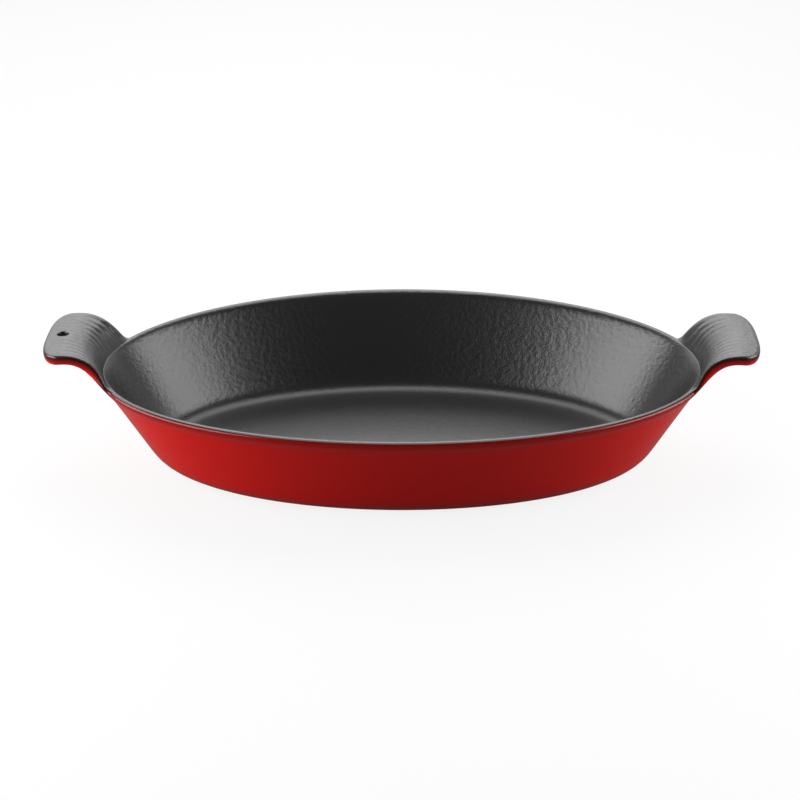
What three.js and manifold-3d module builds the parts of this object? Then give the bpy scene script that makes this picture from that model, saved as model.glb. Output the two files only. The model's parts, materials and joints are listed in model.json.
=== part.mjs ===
// An oval serving dish of cast iron with two ear handles, enamelled red outside and black inside.
// Millimetres, +Z up. The origin is the middle of the foot and the ears lie along X.
import * as THREE from "three";
import { mergeVertices } from "three/addons/utils/BufferGeometryUtils.js";
import Module from "manifold-3d";

// The oval bowl, measured over the enamel.
const rimLength = 320;
const rimWidth = 200;
const rimHeight = 53.5; // at the two long sides
const rimDip = 3.2; // how much lower the rim runs at the two ends
const footLength = 240; // the flat area that stands on the table
const footWidth = 126;
const footRadius = 15.5; // round between the foot and the flared wall
const wallThickness = 4.4;

// The band that stands proud of the wall all round the rim.
const bandHeight = 5.7;
const bandProjection = 0.8;
const rimRound = 2.8; // round on the rim's outer edge, which leaves a narrow flat lip inside it

// The ears: the wall runs on above the rim, then bends outwards until it lies level.
const rimLedge = 1.8; // flat rim left between the bowl and the foot of an ear
const earReach = 25.5; // beyond the end of the rim
const earRise = 19.4; // above the rim
const earSlopeDegrees = 62; // at the foot of the ear, from level
const earBendRadius = 18;
const earDroopDegrees = 4; // how far the tip turns down past level
const earThickness = 4.9;
const earRootWidth = 72;
const earNeckWidth = 58.6;
const earTipDepth = 13.5; // length of the rounded tip
const earTipFullness = 2.7; // 2 would be an ellipse, more is squarer
const earRootTaper = 8; // power that keeps the ear full until close to the ends of its root
const earRootDepth = 2.85; // how far the root of an ear runs down into the wall

// Fine grooves that run out along the top of each ear and leave a plain border.
const grooveCount = 12;
const groovePitch = 4.4;
const grooveDepth = 0.8;
const grooveBorder = 3.5;
const grooveFade = 3;

// The hole in one ear, for hanging the dish up.
const holeDiameter = 6;
const holeInset = 8.7; // from the tip of the ear to the middle of the hole

// Each coat of enamel, and the gap that is left under it.
const enamelThickness = 0.4;
const seatGap = 0.3;

// How finely the curves are cut into flats.
const ovalSegments = 52;
const curveSteps = 2;
const levelSteps = 2;
const underBlendSteps = 2; // over which an ear's underside leaves the band
const neckSections = 8;
const rootSections = 2;
const tipSteps = 10;
const holeSegments = 16;
const weldDistance = 1e-4;

// Room that cutting shapes need past the surface that they cut.
const cutRoom = 1;
const tipRoom = 4; // more at the tip of an ear, whose sides bend away
const cutHeight = 2 * earRise + cutRoom;

const wasm = await Module();
wasm.setup();

const rimHalf = rimWidth / 2;
const footHalf = footWidth / 2;
const ironDepth = enamelThickness + seatGap;
const earSlope = THREE.MathUtils.degToRad(earSlopeDegrees);
const earDroop = THREE.MathUtils.degToRad(earDroopDegrees);
const tipX = rimLength / 2 + earReach;
const neckX = tipX - earTipDepth;

// The wall is the straight line from the rim that just touches the foot's round.
const footCentre = new THREE.Vector2(footHalf, footRadius);
const rimFromFoot = new THREE.Vector2(rimHalf, rimHeight).sub(footCentre);
const touchAngle = Math.acos((footRadius + bandProjection) / rimFromFoot.length());
const wallNormalAngle = rimFromFoot.angle() - touchAngle;
const wallNormal = new THREE.Vector2(Math.cos(wallNormalAngle), Math.sin(wallNormalAngle));
const wallDirection = new THREE.Vector2(-wallNormal.y, wallNormal.x);

// The point of the wall's half-section at height z, moved out from the wall's face.
function wallPoint(z, out = 0) {
  const start = wallNormal.clone().multiplyScalar(footRadius + out).add(footCentre);
  return start.addScaledVector(wallDirection, (z - start.y) / wallDirection.y);
}

// A line of points moved sideways, to the left as it runs, by the same distance all along.
function inset(line, distance) {
  const left = line.slice(1).map((p, i) => {
    const along = p.clone().sub(line[i]).normalize();
    return new THREE.Vector2(-along.y, along.x);
  });
  return line.map((p, i) => {
    const before = left[Math.max(i - 1, 0)];
    const after = left[Math.min(i, left.length - 1)];
    const shift = before.clone().add(after).divideScalar(1 + before.dot(after));
    return p.clone().addScaledVector(shift, distance);
  });
}

// Half-section of the outside, from the middle of the foot to the flat top of the rim.
function outsideLine() {
  const bandFoot = rimHeight - bandHeight;
  const shoulder = wallPoint(rimHeight, bandProjection);
  const line = new THREE.Path().moveTo(0, 0).lineTo(footHalf, 0);
  line.absarc(footHalf, footRadius, footRadius, -Math.PI / 2, wallNormalAngle, false);
  const bandPoints = [
    wallPoint(bandFoot),
    wallPoint(bandFoot + bandProjection, bandProjection),
    wallPoint(rimHeight - rimRound, bandProjection),
  ];
  bandPoints.forEach((p) => line.lineTo(p.x, p.y));
  line.quadraticCurveTo(shoulder.x, shoulder.y, shoulder.x - rimRound, rimHeight);
  return line.getPoints(curveSteps);
}

// Half-section of the bare wall without its band, carried on upwards past the tops of the ears.
function bareLine() {
  const line = new THREE.Path().moveTo(0, 0).lineTo(footHalf, 0);
  line.absarc(footHalf, footRadius, footRadius, -Math.PI / 2, wallNormalAngle, false);
  const top = wallPoint(rimHeight + cutHeight);
  line.lineTo(top.x, top.y);
  return line.getPoints(curveSteps);
}

// How much longer than wide the oval is at height z, measured to one end.
function lengthening(z) {
  const share = THREE.MathUtils.clamp(z / rimHeight, 0, 1);
  return THREE.MathUtils.lerp(footLength - footWidth, rimLength - rimWidth, share) / 2;
}

// The rim runs lower towards the ends, and the wall below it follows in proportion.
function saddle(x, z) {
  const share = Math.min(1, Math.abs(x) / (rimLength / 2));
  return z - rimDip * share ** 2 * (z / rimHeight);
}

// A geometry as a solid that can be joined and cut.
function solid(geometry) {
  const bare = geometry.clone();
  bare.deleteAttribute("normal");
  bare.deleteAttribute("uv");
  const merged = mergeVertices(bare, weldDistance);
  const corners = merged.index.array;
  const triVerts = [];
  for (let i = 0; i < corners.length; i += 3) {
    const [a, b, c] = corners.slice(i, i + 3);
    if (a !== b && b !== c && c !== a) triVerts.push(a, b, c);
  }
  const mesh = new wasm.Mesh({
    numProp: 3,
    vertProperties: merged.attributes.position.array,
    triVerts: new Uint32Array(triVerts),
  });
  return new wasm.Manifold(mesh);
}

// A half-section turned round the vertical axis and drawn out to the oval.
function ovalSolid(line) {
  const geometry = new THREE.LatheGeometry(line, ovalSegments).rotateX(Math.PI / 2);
  const position = geometry.attributes.position;
  for (let i = 0; i < position.count; i++) {
    const z = position.getZ(i);
    const radius = Math.hypot(position.getX(i), position.getY(i));
    const share = radius > 0 ? position.getX(i) / radius : 0;
    const x = position.getX(i) + share * lengthening(z) * Math.min(1, radius / footHalf);
    position.setX(i, x);
    position.setZ(i, saddle(x, z));
  }
  return solid(geometry);
}

// The bowl filled to its rim, its outside moved in by depth and its top lowered by topDepth.
function bowlBlank(depth, topDepth) {
  const top = rimHeight - topDepth;
  const line = inset(outsideLine(), depth).filter((p) => p.y < top);
  const edge = inset(outsideLine(), depth).find((p) => p.y >= top) ?? line.at(-1);
  const last = line.at(-1);
  const share = edge.y > last.y ? (top - last.y) / (edge.y - last.y) : 1;
  line.push(new THREE.Vector2(THREE.MathUtils.lerp(last.x, edge.x, share), top));
  line.push(new THREE.Vector2(0, top));
  return ovalSolid(line);
}

// The room inside the bowl down to a depth below the outside, open upwards past the ears.
function cavity(depth) {
  const line = inset(bareLine(), depth);
  line.push(new THREE.Vector2(0, line.at(-1).y));
  return ovalSolid(line);
}

// Half-section of an ear's top, from inside the wall over the bend to just past the tip.
function earTopLine() {
  const foot = new THREE.Vector2(wallPoint(rimHeight, -wallThickness).x + rimLedge, rimHeight);
  const up = new THREE.Vector2(Math.cos(earSlope), Math.sin(earSlope));
  const straight = (earRise - earBendRadius * (1 - up.x)) / up.y;
  const bendStart = foot.clone().addScaledVector(up, straight);
  const centreX = bendStart.x + earBendRadius * up.y;
  const centreZ = rimHeight + earRise - earBendRadius;
  const upright = Math.PI / 2;
  const start = foot.clone().addScaledVector(up, -earRootDepth);
  const path = new THREE.Path().moveTo(start.x, start.y).lineTo(foot.x, foot.y);
  path.absarc(centreX, centreZ, earBendRadius, upright + earSlope, upright - earDroop, true);
  const line = path.getPoints(curveSteps);
  const bendEnd = line.at(-1);
  const overhang = rimHalf + earReach + tipRoom - bendEnd.x;
  for (let i = 1; i <= levelSteps; i++) {
    const run = (overhang * i) / levelSteps;
    line.push(new THREE.Vector2(bendEnd.x + run, bendEnd.y - run * Math.tan(earDroop)));
  }
  return line;
}

// Half-section of an ear's underside: it leaves the wall under the band and keeps the ear's thickness.
function earUnderLine() {
  const line = inset(earTopLine(), -earThickness);
  line[0] = wallPoint(rimHeight - bandHeight - earRootDepth, -wallThickness);
  return line;
}

// Along the oval through a point of the half-section: its X at a distance y to the side.
function ovalX(radius, z, y) {
  return (radius + lengthening(z)) * Math.sqrt(1 - (y / radius) ** 2);
}

// The side of the ear's outline seen from above, at distance y from the middle: where the tip ends.
function tipEdge(y) {
  const share = Math.min(1, Math.abs(y) / (earNeckWidth / 2));
  return neckX + earTipDepth * (1 - share ** earTipFullness) ** (1 / earTipFullness);
}

// How deep the top is cut at a point: full in a groove, fading out at the foot and before the border.
function grooveAt(x, y, pastFoot) {
  const place = y / groovePitch + grooveCount / 2;
  const inside = place > 0 && place < grooveCount;
  const shape = inside ? 1 - Math.abs(2 * (place % 1) - 1) : 0;
  const toTip = THREE.MathUtils.clamp((tipEdge(y) - grooveBorder - x) / grooveFade, 0, 1);
  const fromFoot = THREE.MathUtils.clamp(pastFoot / grooveFade, 0, 1);
  return grooveDepth * shape * toTip * fromFoot;
}

// Distances to the side at which an ear is cut into sections: even ones or one set for each groove
// between the flanks, and the same few where the flanks spread to the root.
function sectionPlaces(grooved) {
  const neck = earNeckWidth / 2 + cutRoom;
  const edge = earRootWidth / 2 + 2 * cutRoom;
  const places = [];
  for (let i = 0; i <= rootSections; i++) {
    const y = THREE.MathUtils.lerp(neck, edge, i / rootSections);
    places.push(-y, y);
  }
  if (grooved) {
    for (let i = -grooveCount; i <= grooveCount; i++) {
      places.push((i * groovePitch) / 2);
    }
  } else {
    for (let i = 1; i < neckSections; i++) {
      places.push(neck * ((2 * i) / neckSections - 1));
    }
  }
  return places.sort((a, b) => a - b);
}

// A closed skin over a row of outlines, each an upper line out and as many points of a lower line back.
function loft(outlines) {
  const count = outlines[0].length;
  const last = (outlines.length - 1) * count;
  const index = [];
  const quad = (a, b, c, d) => index.push(a, b, c, a, c, d);
  for (let start = 0; start < last; start += count) {
    for (let i = 0; i < count; i++) {
      const next = (i + 1) % count;
      quad(start + i, start + next, start + count + next, start + count + i);
    }
  }
  for (let i = 0; i + 1 < count / 2; i++) {
    const below = count - 1 - i;
    quad(i, below, below - 1, i + 1);
    quad(last + i, last + i + 1, last + below - 1, last + below);
  }
  return new THREE.BufferGeometry().setFromPoints(outlines.flat()).setIndex(index);
}

// Outline of an ear seen from above, running round its tip from side to side, moved in by depth.
// Its flanks leave the rim along the rim's own oval, turn off in a short round and run straight to the tip.
function earOutline(depth) {
  const rootY = earRootWidth / 2;
  const neckY = earNeckWidth / 2;
  const rootX = ovalX(rimHalf, rimHeight, rootY);
  const rimSlant = (rimLength / rimWidth) ** 2 * (rootY / rootX);
  const turnX = rootX + (rootY - neckY) * rimSlant;
  const side = new THREE.Path().moveTo(rootX - earReach, rootY).lineTo(rootX, rootY);
  side.quadraticCurveTo(turnX, neckY, 2 * turnX - rootX, neckY).lineTo(neckX, neckY);
  const flank = side.getPoints(curveSteps * 2);
  const power = 2 / earTipFullness;
  const tip = [];
  for (let i = 1; i < tipSteps; i++) {
    const angle = (Math.PI * i) / tipSteps - Math.PI / 2;
    const y = Math.sign(angle) * neckY * Math.abs(Math.sin(angle)) ** power;
    tip.push(new THREE.Vector2(neckX + earTipDepth * Math.cos(angle) ** power, y));
  }
  const mirrored = flank.map((p) => new THREE.Vector2(p.x, -p.y));
  return inset([...mirrored, ...tip, ...flank.reverse()], depth);
}

// How far the foot of an ear moves out from its place at the middle, to meet the rim's edge at its root.
function footShift(y) {
  const rimTop = rimHalf - wallPoint(rimHeight, -wallThickness).x;
  return (rimTop - rimLedge) * Math.min(1, Math.abs(y) / (earRootWidth / 2)) ** earRootTaper;
}

// One ear as a plain solid: underside and edge moved in by depth, top lowered by topDepth.
function earBlank(depth, topDepth, grooved) {
  const top = inset(earTopLine(), -topDepth);
  const under = inset(earUnderLine(), depth);
  const sections = sectionPlaces(grooved).map((y) => {
    const place = (p, share) => {
      const x = ovalX(p.x + share * footShift(y), p.y, y);
      return new THREE.Vector3(x, y, saddle(x, p.y));
    };
    const upper = top.map((p, i) => place(p, Math.min(1, i)));
    const lower = under.map((p, i) => place(p, THREE.MathUtils.clamp((i - 1) / underBlendSteps, 0, 1)));
    upper.forEach((p, i) => {
      if (grooved) p.z -= grooveAt(p.x, y, top[i].x - top[1].x);
    });
    return [...upper, ...lower.reverse()];
  });
  const outline = new THREE.ExtrudeGeometry(new THREE.Shape(earOutline(depth)), {
    depth: cutHeight * 2,
    bevelEnabled: false,
  });
  return solid(loft(sections)).intersect(solid(outline.translate(0, 0, rimHeight - cutHeight)));
}

// The whole dish filled to its rim: the bowl and an ear at each end.
function blank(depth, topDepth, grooved = false) {
  const ear = meshGeometry(earBlank(depth, topDepth, grooved));
  const otherEar = ear.clone().rotateZ(Math.PI);
  return bowlBlank(depth, topDepth).add(solid(ear)).add(solid(otherEar));
}

// The solid's skin as a geometry.
function meshGeometry(body) {
  const mesh = body.getMesh();
  const geometry = new THREE.BufferGeometry();
  geometry.setAttribute("position", new THREE.BufferAttribute(mesh.vertProperties, mesh.numProp));
  geometry.setIndex(new THREE.BufferAttribute(mesh.triVerts, 1));
  return geometry;
}

// The hole goes straight down through the ear at the negative end.
function hangingHole() {
  const radius = holeDiameter / 2;
  const drill = new THREE.CylinderGeometry(radius, radius, cutHeight * 2, holeSegments);
  return solid(drill.rotateX(Math.PI / 2).translate(holeInset - tipX, 0, rimHeight));
}

// The casting carries everything: bowl, band, ears and grooves in one pour of iron.
function ironCasting() {
  return blank(ironDepth, ironDepth, true).subtract(cavity(wallThickness - ironDepth));
}

// The red coat wraps the foot, the wall, the band, and the underside and edge of the ears.
function exteriorEnamel() {
  return blank(0, ironDepth).subtract(blank(enamelThickness, -cutRoom));
}

// The black coat lines the bowl and runs over the rim and the tops of the ears.
function interiorEnamel() {
  const whole = blank(0, 0, true);
  const topCoat = whole.subtract(blank(-cutRoom, enamelThickness, true));
  const lining = whole.intersect(cavity(wallThickness - enamelThickness));
  return topCoat.add(lining).subtract(cavity(wallThickness));
}

const dish = new THREE.Group();

function addPiece(name, body, finish) {
  const geometry = meshGeometry(body.subtract(hangingHole()));
  geometry.computeVertexNormals();
  const mesh = new THREE.Mesh(geometry, new THREE.MeshStandardMaterial(finish));
  mesh.name = name;
  dish.add(mesh);
}

addPiece("iron_casting", ironCasting(), { color: 0x4a4a4c, roughness: 0.65, metalness: 0.9 });
addPiece("exterior_enamel", exteriorEnamel(), { color: 0x9c1a1c, roughness: 0.18, metalness: 0 });
addPiece("interior_enamel", interiorEnamel(), { color: 0x2c2d2f, roughness: 0.5, metalness: 0 });

export default dish;
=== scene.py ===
import bmesh
import bpy
import json
import math
from mathutils import Matrix, Vector
from mathutils.kdtree import KDTree

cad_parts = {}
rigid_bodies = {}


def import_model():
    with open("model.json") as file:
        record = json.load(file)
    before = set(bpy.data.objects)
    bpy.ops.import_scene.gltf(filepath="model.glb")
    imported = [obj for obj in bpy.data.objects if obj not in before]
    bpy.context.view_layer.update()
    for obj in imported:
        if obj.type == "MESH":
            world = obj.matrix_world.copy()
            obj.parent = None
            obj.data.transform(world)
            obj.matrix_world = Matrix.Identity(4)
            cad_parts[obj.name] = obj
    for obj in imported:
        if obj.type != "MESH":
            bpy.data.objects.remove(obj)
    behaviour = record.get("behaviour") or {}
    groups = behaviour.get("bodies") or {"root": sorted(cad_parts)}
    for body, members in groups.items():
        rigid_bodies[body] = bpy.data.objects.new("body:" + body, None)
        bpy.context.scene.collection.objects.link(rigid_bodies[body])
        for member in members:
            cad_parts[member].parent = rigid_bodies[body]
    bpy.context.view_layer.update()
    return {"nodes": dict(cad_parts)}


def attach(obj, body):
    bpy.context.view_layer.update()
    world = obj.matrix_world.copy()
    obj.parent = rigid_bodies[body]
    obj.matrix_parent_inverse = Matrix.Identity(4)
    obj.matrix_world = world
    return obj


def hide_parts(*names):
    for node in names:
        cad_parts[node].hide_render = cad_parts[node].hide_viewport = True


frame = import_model()
print("frame loaded:", ", ".join(sorted(frame["nodes"])))

mm = 0.001

# The oval bowl, in millimetres, measured over the enamel
bowl = {
    "rimLength": 320.0,
    "rimWidth": 200.0,
    "rimHeight": 53.5,  # at the long sides
    "rimDip": 3.2,  # how much lower the rim runs at the ends
    "footLength": 240.0,
    "footWidth": 126.0,
    "footRadius": 15.5,
    "wall": 4.4,
    "bandHeight": 5.7,
    "bandProjection": 0.8,
    "shoulder": 2.8,  # round on the outer edge of the rim
    "innerRound": 2.1,  # and on its inner edge
    "lip": 2.8,  # top of the rim, from the bowl to the seam of the two coats
    "ledge": 2.0,  # from the bowl's oval to the foot of an ear
    "endThinning": 1.4,  # by which the wall is thinner at the two ends
    "sideColumns": 44,
    "columnCrowding": 0.55,  # columns stand closer towards the ears
}

# The ears, in millimetres and degrees
ear = {
    "reach": 25.5,
    "rise": 19.3,
    "slope": 69.0,
    "bend": 18.0,
    "droop": 4.0,
    "thickness": 5.5,
    "rootThickness": 4.0,
    "rootWidth": 69.0,
    "neckWidth": 58.6,
    "tipDepth": 13.5,
    "tipFullness": 3.0,
    "rootBlend": 15.0,  # along the slope, where the underside leaves the band
    "rootTaper": 8,
    "edgeRound": 1.1,
    "flankTip": 0.987,  # share of the neck's half-width at which a flank meets the tip
    "grooves": 12,
    "columnsPerGroove": 4,
    "groovePitch": 4.4,
    "grooveDepth": 0.5,
    "grooveStart": 3.0,  # from the foot of the slope
    "grooveBorder": 3.2,  # plain edge round the tip
    "grooveFade": 4.0,
    "grooveRunOut": 12.0,  # they grow shallow towards the tip
    "holeInset": 8.7,
    "holeRadius": 2.85,
    "lipRadius": 3.7,
    "holeShares": (0.64, 0.9),  # of the way to the tip, the faces that make room for the hole
    "holeColumns": 4,  # to each side of the middle
    "ringInset": 0.1,
}

rimHalf = bowl["rimWidth"] / 2
footHalf = bowl["footWidth"] / 2
rimHeight = bowl["rimHeight"]
rootHalf = ear["rootWidth"] / 2
neckHalf = ear["neckWidth"] / 2
tipX = bowl["rimLength"] / 2 + ear["reach"]
neckX = tipX - ear["tipDepth"]
slope = math.radians(ear["slope"])
droop = math.radians(ear["droop"])

# The wall is the straight line from the rim that touches the foot's round
footCentre = Vector((footHalf, bowl["footRadius"]))
toRim = Vector((rimHalf, rimHeight)) - footCentre
touchAngle = math.acos((bowl["footRadius"] + bowl["bandProjection"]) / toRim.length)
wallAngle = math.atan2(toRim.y, toRim.x) - touchAngle
wallNormal = Vector((math.cos(wallAngle), math.sin(wallAngle)))
wallUp = Vector((-wallNormal.y, wallNormal.x))


def clamp(value, low=0.0, high=1.0):
    return max(low, min(high, value))


def wallPoint(z, out=0.0):
    start = footCentre + wallNormal * (bowl["footRadius"] + out)
    return start + wallUp * ((z - start.y) / wallUp.y)


def roundPoint(radius, angle):
    return footCentre + Vector((math.cos(angle), math.sin(angle))) * radius


innerX = wallPoint(rimHeight, -bowl["wall"]).x


# Rows of the half-section, in millimetres or as shares of the size that they divide
section = {
    "footShares": (0.0, 0.5, 0.93),
    "roundSteps": 4,
    "outerHeights": (14.0, 24.0, 34.0, 42.0),
    "bandStep": (-1.9, -0.6, 1.3),  # the soft step below the band, from the band's foot
    "shoulderRows": ((0.27, 0.4), (0.5, 0.08)),  # in from the rim's edge, and down
    "lipShare": 0.87,
    "innerRoundRow": (0.25, 0.15),  # out from the bowl's oval, and down
    "innerHeights": (48.0, 40.0, 31.0, 22.0, 15.0),
}


# Half-section of the dish, from under the foot over the rim to the middle of the floor
def sectionRows():
    wall = bowl["wall"]
    proud = bowl["bandProjection"]
    shoulder = bowl["shoulder"]
    innerRound = bowl["innerRound"]
    bandFoot = rimHeight - bowl["bandHeight"]
    stepFoot, stepTop, onBand = (bandFoot + rise for rise in section["bandStep"])
    sweep = wallAngle + math.pi / 2
    count = section["roundSteps"]
    arcAngles = [-math.pi / 2 + sweep * i / count for i in range(count + 1)]
    rows = [Vector((footHalf * share, 0.0)) for share in section["footShares"]]
    rows += [roundPoint(bowl["footRadius"], a) for a in arcAngles]
    rows += [wallPoint(z) for z in (*section["outerHeights"], stepFoot, stepTop)]
    bandRow = len(rows)
    rows += [wallPoint(onBand, proud), wallPoint(rimHeight - shoulder, proud)]
    for inward, down in section["shoulderRows"]:
        rows.append(Vector((rimHalf - inward * shoulder, rimHeight - down * shoulder)))
    seamRow = len(rows)
    rows.append(Vector((innerX + bowl["lip"], rimHeight)))
    rows.append(Vector((innerX + section["lipShare"] * bowl["lip"], rimHeight)))
    innerRow = len(rows)
    rows.append(Vector((innerX + innerRound, rimHeight)))
    outward, down = section["innerRoundRow"]
    rows.append(Vector((innerX + outward * innerRound, rimHeight - down * innerRound)))
    rows += [wallPoint(z, -wall) for z in (rimHeight - innerRound, *section["innerHeights"])]
    rows += [roundPoint(bowl["footRadius"] - wall, a) for a in reversed(arcAngles)]
    rows += [Vector((footHalf * share, wall)) for share in reversed(section["footShares"])]
    return rows, bandRow, seamRow, innerRow


sectionLine, bandRow, seamRow, innerRow = sectionRows()


# How much longer than wide the oval is at a height, to one end
def lengthening(z):
    foot = bowl["footLength"] - bowl["footWidth"]
    rim = bowl["rimLength"] - bowl["rimWidth"]
    return (foot + (rim - foot) * clamp(z / rimHeight)) / 2


# The rim runs lower towards the ends, and what lies below follows in proportion
def saddle(x, z):
    share = clamp(abs(x) / (bowl["rimLength"] / 2))
    return z - bowl["rimDip"] * share**2 * z / rimHeight


def bowlPoint(radius, z, angle, extra):
    x = math.cos(angle) * (radius + lengthening(z) * clamp(radius / footHalf) + extra)
    return Vector((x, math.sin(angle) * radius, saddle(x, z))) * mm


def ovalX(radius, z, y):
    return (radius + lengthening(z)) * math.sqrt(1 - (y / radius) ** 2)


settleRounds = {"oval": 6, "ear": 8}  # after which a repeated step no longer moves


def ovalRadius(x, z, y):
    radius = x - lengthening(z)
    for _ in range(settleRounds["oval"]):
        radius = x / math.sqrt(1 - (y / radius) ** 2) - lengthening(z)
    return radius


# Half-section of an ear's top: up the slope, round the bend and out level
earFoot = Vector((innerX + bowl["ledge"], rimHeight))
straightRun = (ear["rise"] - ear["bend"] * (1 - math.cos(slope))) / math.sin(slope)
bendStart = earFoot + Vector((math.cos(slope), math.sin(slope))) * straightRun
bendCentre = Vector((
    bendStart.x + ear["bend"] * math.sin(slope),
    rimHeight + ear["rise"] - ear["bend"],
))
bendRun = ear["bend"] * (slope + droop)
bendEnd = bendCentre + Vector((math.sin(droop), math.cos(droop))) * ear["bend"]


def earLine(run):
    if run < straightRun:
        tilt = slope
        point = earFoot + Vector((math.cos(slope), math.sin(slope))) * run
    elif run < straightRun + bendRun:
        tilt = slope - (run - straightRun) / ear["bend"]
        point = bendCentre + Vector((-math.sin(tilt), math.cos(tilt))) * ear["bend"]
    else:
        tilt = -droop
        rest = run - straightRun - bendRun
        point = bendEnd + Vector((math.cos(droop), -math.sin(droop))) * rest
    return point, Vector((-math.sin(tilt), math.cos(tilt)))


def earRun(radius):
    if radius > bendEnd.x:
        return straightRun + bendRun + (radius - bendEnd.x) / math.cos(droop)
    if radius > bendStart.x:
        tilt = math.asin((bendCentre.x - radius) / ear["bend"])
        return straightRun + ear["bend"] * (slope - tilt)
    return (radius - earFoot.x) / math.cos(slope)


# An ear stays full until close to the ends of its root; there its foot bends out to the rim's edge
def rootShare(y):
    return clamp(abs(y) / rootHalf) ** ear["rootTaper"]


def footShift(y):
    return (rimHalf - innerX - bowl["ledge"]) * rootShare(y)


def tipEdge(y):
    power = ear["tipFullness"]
    return neckX + ear["tipDepth"] * (1 - clamp(abs(y) / neckHalf) ** power) ** (1 / power)


# Half the width of an ear: off the rim in a short round, straight to the neck, round the tip
def outlineHalf(x):
    rootX = ovalX(rimHalf, rimHeight, rootHalf)
    rimSlant = (bowl["rimLength"] / bowl["rimWidth"]) ** 2 * rootHalf / rootX
    turnX = rootX + (rootHalf - neckHalf) * rimSlant
    if x < neckX:
        share = clamp((x - rootX) / (2 * (turnX - rootX)))
        return neckHalf + (rootHalf - neckHalf) * (1 - share) ** 2
    power = ear["tipFullness"]
    return neckHalf * (1 - clamp((x - neckX) / ear["tipDepth"]) ** power) ** (1 / power)


# Places of the columns across an ear, at its neck: those of the grooves, then the plain border
def earColumnPlaces():
    count = ear["columnsPerGroove"] * ear["grooves"]
    width = ear["grooves"] * ear["groovePitch"]
    grooved = [(i / count - 0.5) * width for i in range(count + 1)]
    border = neckHalf - ear["edgeRound"]
    return [-neckHalf, -border] + grooved + [border, neckHalf]


earColumns = earColumnPlaces()
# Steps along an ear, of the way to its tip
earShares = [0.05, 0.13, 0.22, 0.32, 0.43, 0.54, 0.64, 0.73, 0.815, 0.9, 0.95]
lastStep = len(earShares) + 2
# Rows on an ear's edge, from the underside to the top: share of its thickness, and mm drawn in
edgeThickness = [0.9, 0.7, 0.5, 0.3, 0.12]
edgeInset = [0.35, 0.0, 0.0, 0.0, 0.3]


def grooveAt(y, run, tipRun):
    phase = y / ear["groovePitch"] + ear["grooves"] / 2
    if phase <= 0 or phase >= ear["grooves"]:
        return 0.0
    fromFoot = clamp((run - ear["grooveStart"]) / ear["grooveFade"])
    toTip = clamp((tipRun - ear["grooveBorder"] - run) / ear["grooveRunOut"])
    return ear["grooveDepth"] * (1 - math.cos(2 * math.pi * phase)) / 2 * fromFoot * toTip


# A point of the ear at +X: column across it, step along it, row down its edge
def earPoint(column, step, row):
    place = earColumns[column]
    side = math.copysign(1.0, place)
    atFlank = column in (0, len(earColumns) - 1)
    atTip = step == lastStep
    edge = row - bandRow
    if atFlank or atTip:
        depth = edgeThickness[edge]
    else:
        depth = 0.0 if row == seamRow else 1.0
    y = place
    for _ in range(settleRounds["ear"]):
        tipY = ear["flankTip"] * neckHalf if atFlank else abs(place)
        tipRun = earRun(ovalRadius(tipEdge(tipY), rimHeight, tipY) - footShift(tipY))
        if atTip:
            run = tipRun - edgeInset[edge]
        elif step == lastStep - 1:
            run = tipRun - ear["edgeRound"]
        else:
            run = earShares[step - 1] * tipRun
        top, normal = earLine(run)
        x = ovalX(top.x + footShift(y), rimHeight, y)
        half = outlineHalf(x)
        y = side * half if atFlank else place * max(1.0, half / neckHalf)
    ease = clamp(run / ear["rootBlend"])
    ease *= ease * (3 - 2 * ease)
    thickness = ear["rootThickness"] + (ear["thickness"] - ear["rootThickness"]) * ease
    point = top - normal * thickness * depth
    if row == seamRow and not atFlank and not atTip:
        point -= normal * grooveAt(place, run, tipRun)
    x = ovalX(point.x + footShift(y) * (1 - depth * (1 - ease)), rimHeight, y)
    if atFlank:
        y -= side * edgeInset[edge]
    return Vector((x, y, saddle(x, point.y))) * mm


# Angles of the columns round the bowl, starting with the ear at +X
def bowlColumnAngles():
    across = [math.asin(rootHalf / rimHalf * y / neckHalf) for y in earColumns]
    start = across[-1]
    sweep = math.pi - 2 * start
    count = bowl["sideColumns"]
    side = []
    for i in range(1, count):
        share = i / count
        share -= bowl["columnCrowding"] * math.sin(2 * math.pi * share) / (2 * math.pi)
        side.append(start + sweep * share)
    half = across + side
    return half + [a + math.pi for a in half]


columnAngles = bowlColumnAngles()
earStarts = {0: 1.0, len(columnAngles) // 2: -1.0}  # first column of each ear, and its side


def earColumnOf(column):
    for start, side in earStarts.items():
        if start <= column < start + len(earColumns):
            return column - start, side
    return None, 0.0


# A point of the bowl; inside an ear the rim's flat lip draws in to the ledge
def ringPoint(row, column):
    p = sectionLine[row].copy()
    inEar, _ = earColumnOf(column)
    extra = 0.0
    if row >= seamRow:
        extra = bowl["endThinning"] * clamp(1 - (p.x - innerX) / bowl["lip"]) * p.y / rimHeight
    if inEar is not None and seamRow <= row <= innerRow:
        share = rootShare(rootHalf * earColumns[inEar] / neckHalf)
        lip = bowl["ledge"] + (bowl["lip"] - bowl["ledge"]) * share
        p.x = innerX + (p.x - innerX) * lip / bowl["lip"]
    return bowlPoint(p.x, p.y, columnAngles[column], extra)


def isVert(item):
    return isinstance(item, bmesh.types.BMVert)


def isFace(item):
    return isinstance(item, bmesh.types.BMFace)


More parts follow.
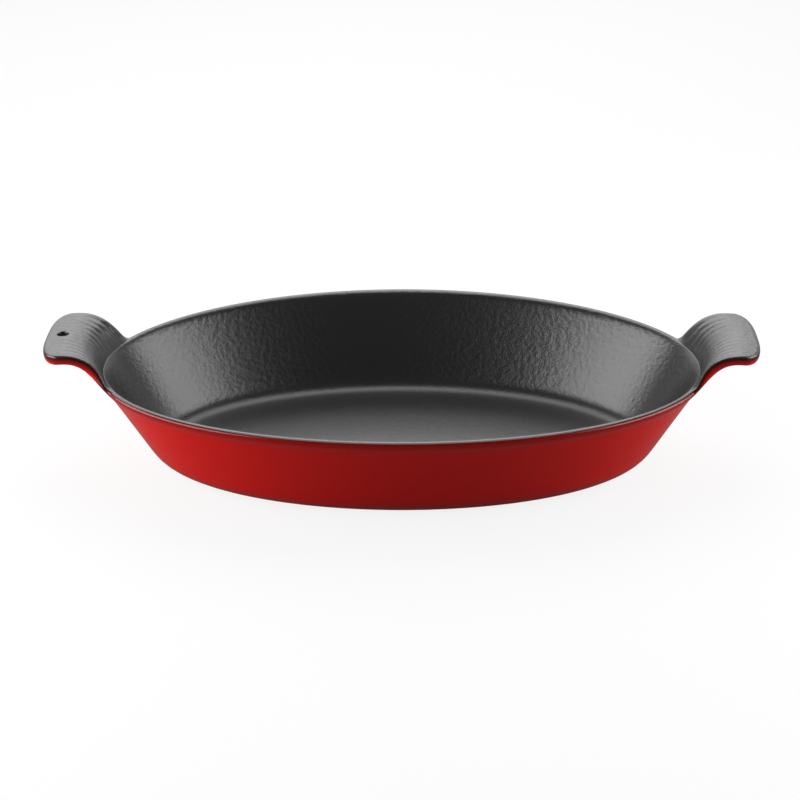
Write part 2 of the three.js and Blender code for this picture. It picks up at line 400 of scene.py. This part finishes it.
# The hanging hole: two rings are inset in the top and the underside, rounded off and bridged
def pierceEar(bm, layers):
    row, column, step = layers
    middle = len(columnAngles) // 2 + len(earColumns) // 2
    first, last = (earShares.index(share) + 1 for share in ear["holeShares"])
    centreX = (ear["holeInset"] - tipX) * mm
    for level in (seamRow, bandRow):
        faces = [f for f in bm.faces if all(
            v[row] == level
            and abs(v[column] - middle) <= ear["holeColumns"]
            and first <= v[step] <= last
            for v in f.verts
        )]
        for radius in (ear["lipRadius"], ear["holeRadius"]):
            bmesh.ops.inset_region(
                bm, faces=faces, thickness=ear["ringInset"] * mm, use_even_offset=True
            )
            edges = [
                e for f in faces for e in f.edges
                if sum(g in faces for g in e.link_faces) == 1
            ]
            ring = sorted(
                {v for e in edges for v in e.verts},
                key=lambda v: math.atan2(v.co.y, v.co.x - centreX),
            )
            for i, v in enumerate(ring):
                angle = -math.pi + 2 * math.pi * (i + 0.5) / len(ring)
                v.co.x = centreX + math.cos(angle) * radius * mm
                v.co.y = math.sin(angle) * radius * mm
                v.co.z = holeHeight(abs(v.co.x) / mm, level)
        bmesh.ops.delete(bm, geom=faces, context="FACES")
    loops = [e for e in bm.edges if len(e.link_faces) == 1]
    return bmesh.ops.bridge_loops(bm, edges=loops)["faces"]


def holeHeight(x, level):
    top, normal = earLine(earRun(x - lengthening(rimHeight)))
    z = top.y if level == seamRow else top.y - ear["thickness"]
    return saddle(x, z) * mm


weldDistance = 1e-4  # mm, for the two ends of the half-section on the axis


# Bowl and ears as one skin: the half-section is spun, then the band is drawn out at each end
def dishSkin():
    bm = bmesh.new()
    row = bm.verts.layers.int.new("row")
    column = bm.verts.layers.int.new("column")
    step = bm.verts.layers.int.new("step")
    line = []
    for i, p in enumerate(sectionLine):
        v = bm.verts.new((p.x, 0.0, p.y))
        v[row] = i
        line.append(v)
    edges = [bm.edges.new(pair) for pair in zip(line, line[1:])]
    count = len(columnAngles)
    bmesh.ops.spin(
        bm, geom=line + edges, cent=(0, 0, 0), axis=(0, 0, 1), angle=2 * math.pi, steps=count,
        use_merge=True,
    )
    bmesh.ops.remove_doubles(bm, verts=bm.verts[:], dist=weldDistance)
    for v in bm.verts:
        v[column] = round(math.atan2(v.co.y, v.co.x) / (2 * math.pi) * count) % count
    for v in bm.verts:
        v.co = ringPoint(v[row], v[column])
    for start, side in earStarts.items():
        columns = range(start, start + len(earColumns))
        faces = [f for f in bm.faces if all(
            bandRow <= v[row] <= seamRow and v[column] in columns for v in f.verts
        )]
        for i in range(1, lastStep + 1):
            edges = list({e for f in faces for e in f.edges})
            grown = bmesh.ops.extrude_face_region(bm, geom=faces + edges)["geom"]
            faces = [g for g in grown if isFace(g)]
            for v in filter(isVert, grown):
                v[step] = i
                v.co = earPoint(v[column] - start, i, v[row])
                v.co.x *= side
                v.co.y *= side
    for f in bm.faces:
        f.material_index = int(all(v[row] >= seamRow for v in f.verts))
    for f in pierceEar(bm, (row, column, step)):
        f.material_index = 1
    bmesh.ops.recalc_face_normals(bm, faces=bm.faces[:])
    return bm


def smoothMesh(bm, levels):
    mesh = bpy.data.meshes.new("dishSkin")
    bm.to_mesh(mesh)
    bm.free()
    temporary = bpy.data.objects.new("dishSkin", mesh)
    bpy.context.scene.collection.objects.link(temporary)
    modifier = temporary.modifiers.new("smooth", "SUBSURF")
    modifier.levels = modifier.render_levels = levels
    bpy.context.view_layer.update()
    graph = bpy.context.evaluated_depsgraph_get()
    smooth = bpy.data.meshes.new_from_object(temporary.evaluated_get(graph))
    bpy.data.objects.remove(temporary)
    return smooth


coat = {"thickness": 0.4, "gap": 0.3, "sharpAngle": 50.0}


def linkMesh(name, bm):
    for f in bm.faces:
        f.material_index = 0
        f.smooth = True
    mesh = bpy.data.meshes.new(name)
    bm.to_mesh(mesh)
    bm.free()
    piece = bpy.data.objects.new(name, mesh)
    bpy.context.scene.collection.objects.link(piece)
    return piece


# The casting lies under both coats, all over
def ironBody(skin):
    bm = bmesh.new()
    bm.from_mesh(skin)
    depth = (coat["thickness"] + coat["gap"]) * mm
    moved = [(v, v.co - v.normal * depth) for v in bm.verts]
    for v, place in moved:
        v.co = place
    return linkMesh("iron_body", bm)


# One coat: its share of the skin, with the distance from the seam kept, then thickened inwards
def enamelCoat(name, skin, index):
    bm = bmesh.new()
    bm.from_mesh(skin)
    other = [f for f in bm.faces if f.material_index != index]
    bmesh.ops.delete(bm, geom=other, context="FACES")
    seam = [v for v in bm.verts if v.is_boundary]
    tree = KDTree(len(seam))
    for i, v in enumerate(seam):
        tree.insert(v.co, i)
    tree.balance()
    distance = bm.verts.layers.float.new("seamDistance")
    for v in bm.verts:
        v[distance] = tree.find(v.co)[2] / mm
    bmesh.ops.solidify(bm, geom=bm.faces[:], thickness=coat["thickness"] * mm)
    piece = linkMesh(name, bm)
    piece.data.set_sharp_from_angle(angle=math.radians(coat["sharpAngle"]))
    return piece


def hexToLinear(code):
    channels = [int(code[i:i + 2], 16) / 255 for i in (1, 3, 5)]
    linear = [c / 12.92 if c <= 0.04045 else ((c + 0.055) / 1.055) ** 2.4 for c in channels]
    return (*linear, 1.0)


# Adds a node, sets its own settings and its inputs, and links what is a socket
def addNode(tree, kind, inputs=None, **settings):
    node = tree.nodes.new(kind)
    for key, value in settings.items():
        setattr(node, key, value)
    for key, value in (inputs or {}).items():
        if isinstance(value, bpy.types.NodeSocket):
            tree.links.new(value, node.inputs[key])
        else:
            node.inputs[key].default_value = value
    return node


def newMaterial(name):
    material = bpy.data.materials.new(name)
    material.use_nodes = True
    material.node_tree.nodes.clear()
    return material, material.node_tree


# Mixes two colours; the sockets of a colour mix go by number because their names repeat
def mixColour(tree, share, first, second):
    mix = addNode(tree, "ShaderNodeMix", {
        0: share, 6: hexToLinear(first), 7: hexToLinear(second),
    }, data_type="RGBA")
    return mix.outputs[2]


# Fine unevenness of a finish, from noise of its own size and depth
def grainNormal(tree, place, finish, strength=1.0):
    noise = addNode(tree, "ShaderNodeTexNoise", {
        "Vector": place, "Scale": 1 / (finish["grain"] * mm),
        "Detail": finish["grainDetail"], "Roughness": finish["grainRoughness"],
    })
    bump = addNode(tree, "ShaderNodeBump", {
        "Height": noise.outputs["Fac"], "Strength": strength,
        "Distance": finish["grainDepth"] * mm,
    })
    return bump.outputs["Normal"]


redFinish = {
    "colour": "#dc0a02",
    # The dark colour near the seam is partly the thin coat there and partly painted shade
    "seamAndShadeColour": "#360706",
    "seamAndShadeWidth": (0.6, 4.8),  # mm from the seam over which the red goes from dark to full: the thin coat's dark line at the seam, and painted shade over the band, the shoulder and the ears' flanks
    "roughness": 0.2,
    "specular": 0.38,
    "grain": 3.0,  # mm between the waves of its orange peel
    "grainDepth": 0.025,
    "grainDetail": 1.0,
    "grainRoughness": 0.5,
}


# Glossy vitreous enamel, sprayed and fired: a deep wet red with a slight orange peel, darkened
# towards
# the seam: thin and dark right at it, and beyond that painted shade over the band, the shoulder
# and the ears' flanks
def vitreousRedEnamel():
    material, tree = newMaterial("vitreousRedEnamel")
    place = addNode(tree, "ShaderNodeTexCoord").outputs["Object"]
    seam = addNode(tree, "ShaderNodeAttribute", attribute_name="seamDistance").outputs["Fac"]
    darkestWithin, fullRedFrom = redFinish["seamAndShadeWidth"]
    # Painted shade: darkens the red well beyond the thin coat's line at the seam
    thinCoatAndShade = addNode(tree, "ShaderNodeMapRange", {
        "Value": seam, "From Min": darkestWithin, "From Max": fullRedFrom, "To Min": 1.0, "To Max": 0.0,
    }, interpolation_type="SMOOTHSTEP")
    shader = addNode(tree, "ShaderNodeBsdfPrincipled", {
        "Base Color": mixColour(
            tree, thinCoatAndShade.outputs["Result"], redFinish["colour"], redFinish["seamAndShadeColour"]
        ),
        "Roughness": redFinish["roughness"],
        "Specular IOR Level": redFinish["specular"],
        "Normal": grainNormal(tree, place, redFinish),
    })
    addNode(tree, "ShaderNodeOutputMaterial", {"Surface": shader.outputs["BSDF"]})
    return material


blackFinish = {
    "colour": "#131314",
    "roughness": 0.34,
    "ior": 1.6,
    "grain": 2.8,  # mm, the casting's skin under the coat
    "grainDepth": 0.25,
    "grainDetail": 3.0,
    "grainRoughness": 0.55,
    "floorHeight": (5.0, 12.0),  # mm over which the grain fades out towards the smoother floor
    "floorGrain": 0.4,
}


# Satin black enamel over a cast skin: soft grey sheen, mottled where the light grazes it
def satinBlackEnamel():
    material, tree = newMaterial("satinBlackEnamel")
    place = addNode(tree, "ShaderNodeTexCoord").outputs["Object"]
    height = addNode(tree, "ShaderNodeSeparateXYZ", {"Vector": place}).outputs["Z"]
    low, high = blackFinish["floorHeight"]
    strength = addNode(tree, "ShaderNodeMapRange", {
        "Value": height, "From Min": low * mm, "From Max": high * mm,
        "To Min": blackFinish["floorGrain"],
    })
    shader = addNode(tree, "ShaderNodeBsdfPrincipled", {
        "Base Color": hexToLinear(blackFinish["colour"]),
        "Roughness": blackFinish["roughness"],
        "IOR": blackFinish["ior"],
        "Normal": grainNormal(tree, place, blackFinish, strength.outputs["Result"]),
    })
    addNode(tree, "ShaderNodeOutputMaterial", {"Surface": shader.outputs["BSDF"]})
    return material


ironFinish = {
    "colour": "#4a4a4c",
    "roughness": 0.6,
    "grain": 0.8,  # mm, the sand of the mould
    "grainDepth": 0.08,
    "grainDetail": 2.0,
    "grainRoughness": 0.5,
}


# Grey cast iron as it leaves the mould: dark, sandy and hardly shining
def greyCastIron():
    material, tree = newMaterial("greyCastIron")
    place = addNode(tree, "ShaderNodeTexCoord").outputs["Object"]
    shader = addNode(tree, "ShaderNodeBsdfPrincipled", {
        "Base Color": hexToLinear(ironFinish["colour"]),
        "Metallic": 1.0,
        "Roughness": ironFinish["roughness"],
        "Normal": grainNormal(tree, place, ironFinish),
    })
    addNode(tree, "ShaderNodeOutputMaterial", {"Surface": shader.outputs["BSDF"]})
    return material


skin = smoothMesh(dishSkin(), levels=1)
print("skin smoothed:", len(skin.polygons), "faces")

redCoat = enamelCoat("red_enamel_coat", skin, 0)
redCoat.data.materials.append(vitreousRedEnamel())
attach(redCoat, "root")
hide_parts("exterior_enamel")
print("red coat:", len(redCoat.data.polygons), "faces")

blackCoat = enamelCoat("black_enamel_coat", skin, 1)
blackCoat.data.materials.append(satinBlackEnamel())
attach(blackCoat, "root")
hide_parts("interior_enamel")
print("black coat:", len(blackCoat.data.polygons), "faces")

iron = ironBody(skin)
iron.data.materials.append(greyCastIron())
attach(iron, "root")
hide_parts("iron_casting")
bpy.data.meshes.remove(skin)
print("iron body:", len(iron.data.polygons), "faces")

# The floor's paper: its colour to the camera and as it lights the dish, and its shares of white
paper = {
    "floorSize": 6.0,
    "colour": "#d4d4d4",
    "bounce": "#606060",
    "white": 0.85,
    "mirrored": 0.04,
    "cast": 0.0,
}
backdrop = {"place": 1.35, "width": 3.0, "height": 1.3}


# A square of side 1, turned and stretched into place
def stagePlane(name, material, turn):
    bm = bmesh.new()
    bmesh.ops.create_grid(bm, x_segments=1, y_segments=1, size=0.5, matrix=turn)
    mesh = bpy.data.meshes.new(name)
    bm.to_mesh(mesh)
    bm.free()
    plane = bpy.data.objects.new(name, mesh)
    bpy.context.scene.collection.objects.link(plane)
    plane.data.materials.append(material)


# How white the background is to the camera, in the gloss of the dish, and as light on the dish
def whiteShare(tree, rays, seen, mirrored, cast):
    mirror = addNode(tree, "ShaderNodeMath", {
        0: rays.outputs["Is Glossy Ray"], 1: rays.outputs["Is Transmission Ray"],
    }, operation="MAXIMUM")
    unseen = addNode(tree, "ShaderNodeMapRange", {
        "Value": mirror.outputs["Value"], "To Min": cast, "To Max": mirrored,
    })
    share = addNode(tree, "ShaderNodeMapRange", {
        "Value": rays.outputs["Is Camera Ray"], "To Min": unseen.outputs["Result"], "To Max": seen,
    })
    return share.outputs["Result"]


# White paper: near white to the camera, with the dish's soft shadow kept on it
def whitePaper():
    material, tree = newMaterial("whitePaper")
    rays = addNode(tree, "ShaderNodeLightPath")
    share = whiteShare(tree, rays, paper["white"], paper["mirrored"], paper["cast"])
    colour = mixColour(tree, rays.outputs["Is Camera Ray"], paper["bounce"], paper["colour"])
    lit = addNode(tree, "ShaderNodeBsdfDiffuse", {"Color": colour})
    white = addNode(tree, "ShaderNodeEmission", {"Strength": 1.0})
    mix = addNode(tree, "ShaderNodeMixShader", {
        0: share, 1: lit.outputs["BSDF"], 2: white.outputs["Emission"],
    })
    addNode(tree, "ShaderNodeOutputMaterial", {"Surface": mix.outputs["Shader"]})
    return material


# Lit white cloth behind the dish, which the rim and the ears mirror
def litCloth():
    material, tree = newMaterial("litCloth")
    white = addNode(tree, "ShaderNodeEmission", {"Strength": 1.0})
    addNode(tree, "ShaderNodeOutputMaterial", {"Surface": white.outputs["Emission"]})
    return material


stagePlane("floor", whitePaper(), Matrix.Scale(paper["floorSize"], 4))
stagePlane(
    "backdrop",
    litCloth(),
    Matrix.Translation((0, backdrop["place"], backdrop["height"] / 2))
    @ Matrix.Rotation(math.pi / 2, 4, "X")
    @ Matrix.Diagonal((backdrop["width"], backdrop["height"], 1, 1)),
)

# Soft boxes: place and size in metres, and how bright their face is
lamps = {
    "left": {"place": (-0.62, -0.16, 0.27), "size": (0.75, 0.52), "bright": 6.1},
    "right": {"place": (0.62, -0.06, 0.27), "size": (0.65, 0.52), "bright": 5.2},
    "back": {"place": (-0.22, 0.95, 0.62), "size": (1.4, 0.6), "bright": 1.8},
    "top": {"place": (0.0, 0.5, 0.85), "size": (0.8, 0.8), "bright": 2.8},
}
room = {"white": 1.0, "mirrored": 0.08, "fill": 0.05, "aim": (0.0, 0.0, 0.03)}


def studioLight():
    target = Vector(room["aim"])
    for name, lamp in lamps.items():
        light = bpy.data.lights.new(name, "AREA")
        light.shape = "RECTANGLE"
        light.size, light.size_y = lamp["size"]
        light.energy = lamp["bright"] * math.pi * light.size * light.size_y
        holder = bpy.data.objects.new(name, light)
        holder.location = lamp["place"]
        holder.rotation_euler = (target - holder.location).to_track_quat("-Z", "Y").to_euler()
        bpy.context.scene.collection.objects.link(holder)
    world = bpy.data.worlds.new("studio")
    bpy.context.scene.world = world
    world.use_nodes = True
    tree = world.node_tree
    tree.nodes.clear()
    rays = addNode(tree, "ShaderNodeLightPath")
    white = addNode(tree, "ShaderNodeBackground", {
        "Color": (1, 1, 1, 1),
        "Strength": whiteShare(tree, rays, room["white"], room["mirrored"], room["fill"]),
    })
    addNode(tree, "ShaderNodeOutputWorld", {"Surface": white.outputs["Background"]})


studioLight()
bpy.context.scene.view_settings.view_transform = "Standard"

# The photograph's view: a long lens from the front, a little above
view = {
    "lens": 90.0,
    "sensor": 36.0,
    "distance": 1.0615,
    "elevation": 25.7,
    "azimuth": 1.0,
    "roll": -0.36,
    "target": (0.0, 0.0, 0.025),
    "targetPixel": (401.6, 408.8),
    "imageSize": 800,
}


def photoCamera():
    data = bpy.data.cameras.new("camera")
    data.lens = view["lens"]
    data.sensor_width = view["sensor"]
    middle = view["imageSize"] / 2
    data.shift_x = (middle - view["targetPixel"][0]) / view["imageSize"]
    data.shift_y = (view["targetPixel"][1] - middle) / view["imageSize"]
    camera = bpy.data.objects.new("camera", data)
    azimuth = math.radians(view["azimuth"])
    elevation = math.radians(view["elevation"])
    back = Vector((
        math.sin(azimuth) * math.cos(elevation),
        -math.cos(azimuth) * math.cos(elevation),
        math.sin(elevation),
    ))
    roll = Matrix.Rotation(math.radians(view["roll"]), 3, "Z")
    turn = back.to_track_quat("Z", "Y").to_matrix() @ roll
    camera.location = Vector(view["target"]) + back * view["distance"]
    camera.rotation_euler = turn.to_euler()
    bpy.context.scene.collection.objects.link(camera)
    bpy.context.scene.camera = camera


photoCamera()
print("stage, light and camera set")
